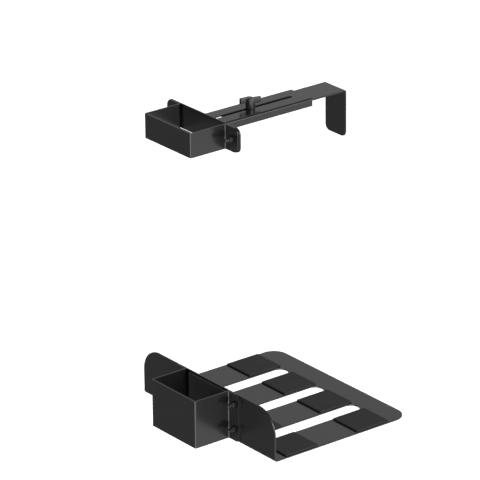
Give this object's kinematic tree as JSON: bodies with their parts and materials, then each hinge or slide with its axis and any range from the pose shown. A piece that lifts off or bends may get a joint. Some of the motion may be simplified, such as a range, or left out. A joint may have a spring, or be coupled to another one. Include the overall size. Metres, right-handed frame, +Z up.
{
  "type": "cpu holder",
  "caption": "Desk-leg computer holder in black sheet steel: bolted clamps, a slotted padded tray and a sliding hook arm with a tee knob.",
  "frame": {"origin": "On the axis of the desk leg that the holder clamps to, level with the top face of the tray's shelf.", "axes": "+Z up along the leg, +X from the leg out along the arm and over the tray, +Y across the leg along the tray's long side."},
  "size_m": [0.2683, 0.265, 0.4181],
  "materials": {
    "black_steel": "satin",
    "foam_pad": "matte",
    "rubber_pad": "matte",
    "black_screw": "satin",
    "knob_plastic": "satin",
    "insert_metal": "satin"
  },
  "bodies": {
    "lower_bracket": {"tray": "black_steel", "tray_pad_inner_1": "foam_pad", "tray_pad_inner_2": "foam_pad", "tray_pad_inner_3": "foam_pad", "tray_pad_inner_4": "foam_pad", "tray_pad_outer_1": "foam_pad", "tray_pad_outer_2": "foam_pad", "tray_pad_outer_3": "foam_pad", "tray_pad_outer_4": "foam_pad", "lower_strap": "black_steel", "lower_grip_pad": "rubber_pad", "lower_screws": "black_screw", "lower_nuts": "black_screw"},
    "upper_bracket": {"upper_strap": "black_steel", "upper_grip_pad": "rubber_pad", "upper_plate": "black_steel", "upper_screws": "black_screw", "upper_nuts": "black_screw", "outer_arm": "black_steel", "arm_weld": "black_steel"},
    "hook": {"hook_arm": "black_steel", "clamp_screw": "black_screw"},
    "knob": {"knob": "knob_plastic", "knob_insert": "insert_metal"}
  },
  "joints": [
    {"name": "upper_clamp_height", "type": "slide", "parent": "lower_bracket", "child": "upper_bracket", "axis": [0, 0, 1], "range_m": [-0.09, 0.13]},
    {"name": "hook_reach", "type": "slide", "parent": "upper_bracket", "child": "hook", "axis": [1, 0, 0], "range_m": [-0.03, 0.061]},
    {"name": "knob_turn", "type": "hinge", "parent": "hook", "child": "knob", "pos_m": [0.097, 0, 0.4026], "axis": [0, 0, 1], "continuous": true}
  ]
}
